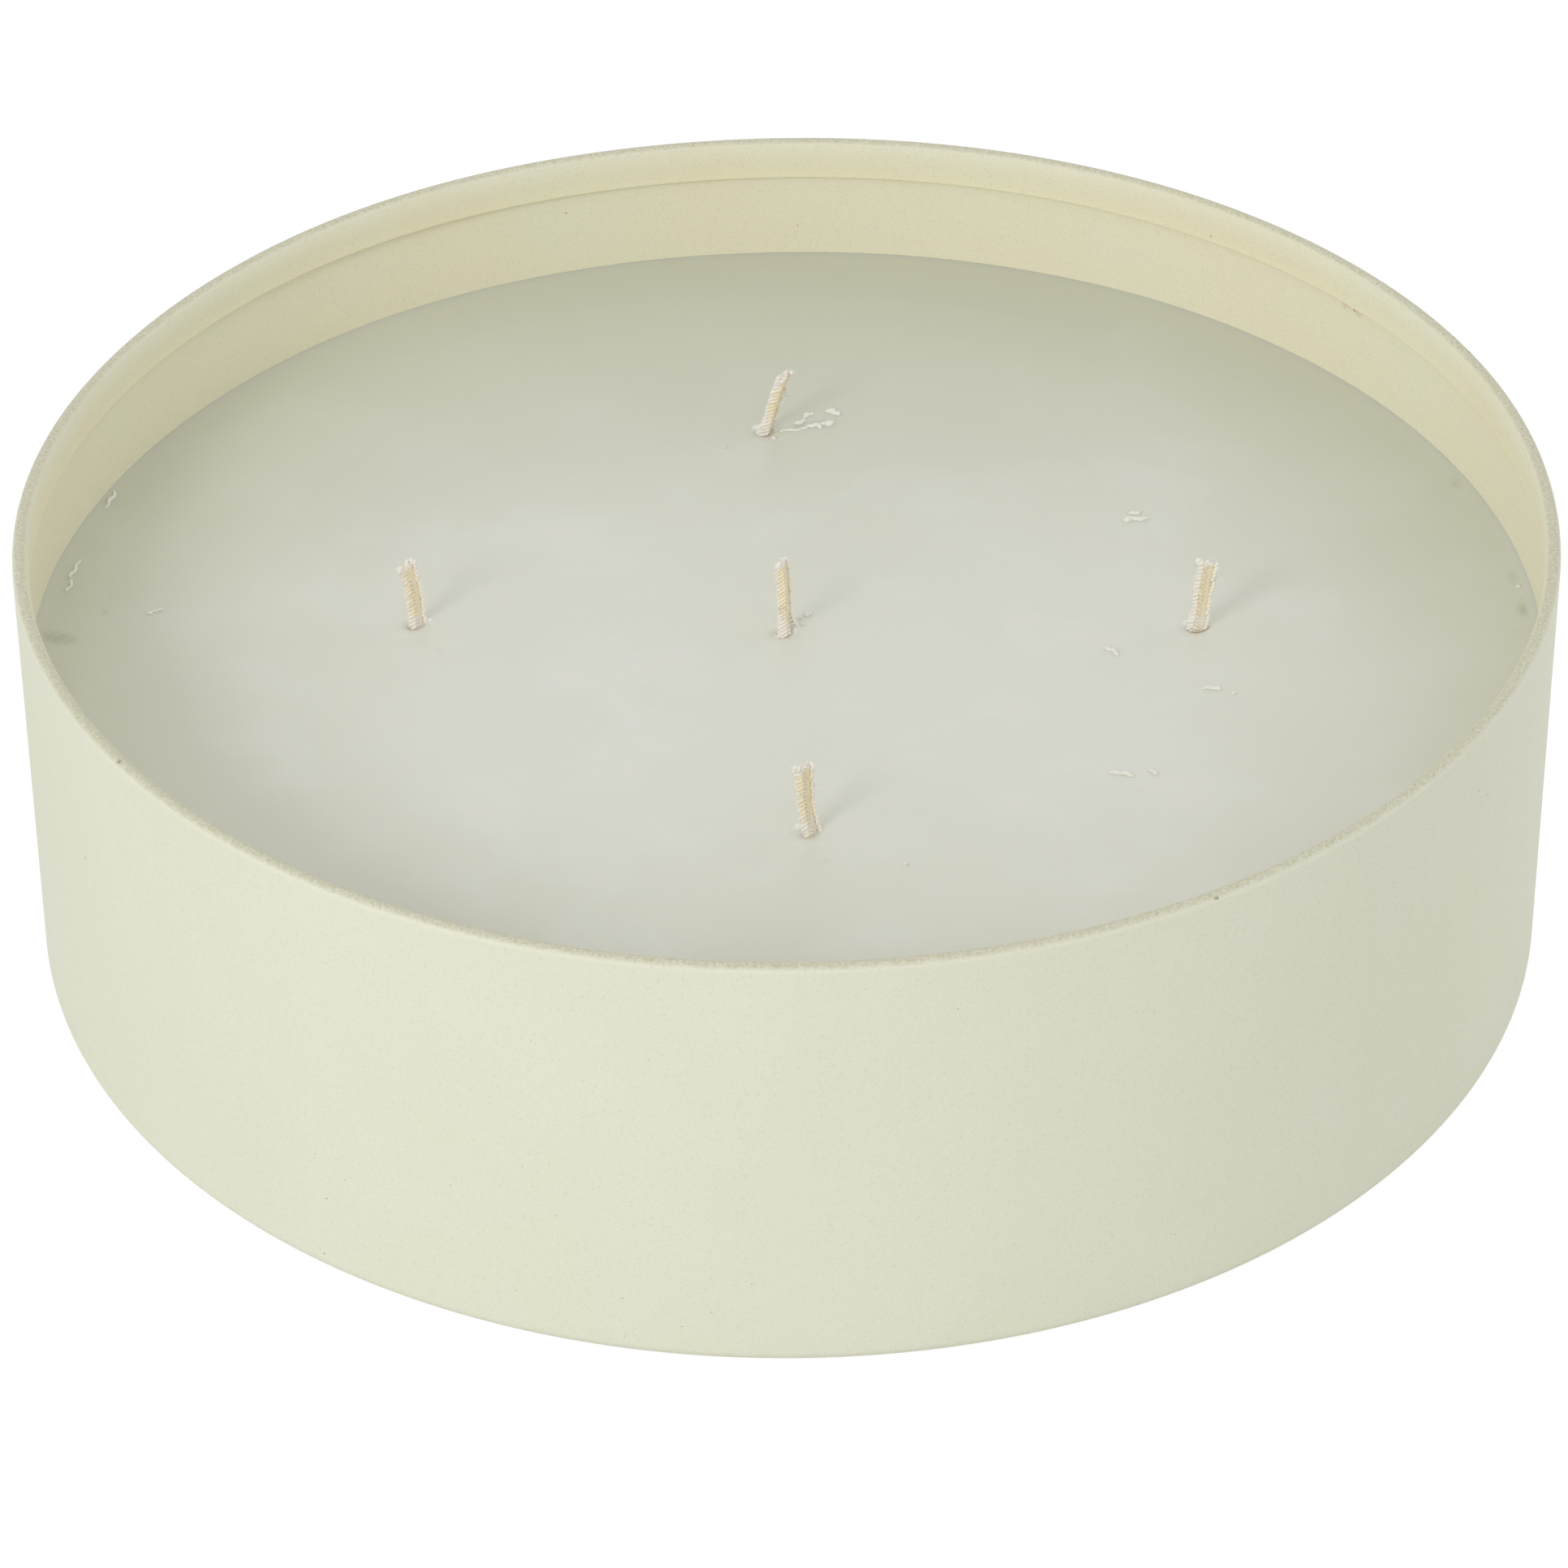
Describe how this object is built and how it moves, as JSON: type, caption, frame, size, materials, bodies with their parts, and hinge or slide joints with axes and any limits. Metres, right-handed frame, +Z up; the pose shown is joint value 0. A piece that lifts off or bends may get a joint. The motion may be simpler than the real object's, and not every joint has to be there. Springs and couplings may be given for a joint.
{
  "type": "metal container candle",
  "caption": "Shallow round coated-steel container with an inward hemmed rim, filled with pale wax that holds spaced cotton wicks; stands on its flat base and burns as a wide candle.",
  "frame": {"origin": "centre of the container's underside, where it stands", "axes": "+Z up towards the open rim, +Y towards the back of the pictured view, +X towards its right"},
  "size_m": [0.28, 0.28, 0.084],
  "materials": {
    "coated_steel": "matte gritty powder coat",
    "wax": "set paraffin wax, slightly mottled",
    "cotton_wick": "flat braid, primed with wax",
    "tinplate": "bright tinplate"
  },
  "bodies": {
    "root": {"container": "coated_steel", "wax_fill": "wax", "wick_centre": "cotton_wick", "wick_left": "cotton_wick", "wick_right": "cotton_wick", "wick_front": "cotton_wick", "wick_back": "cotton_wick", "sustainer_centre": "tinplate", "sustainer_left": "tinplate", "sustainer_right": "tinplate", "sustainer_front": "tinplate", "sustainer_back": "tinplate"}
  },
  "joints": []
}
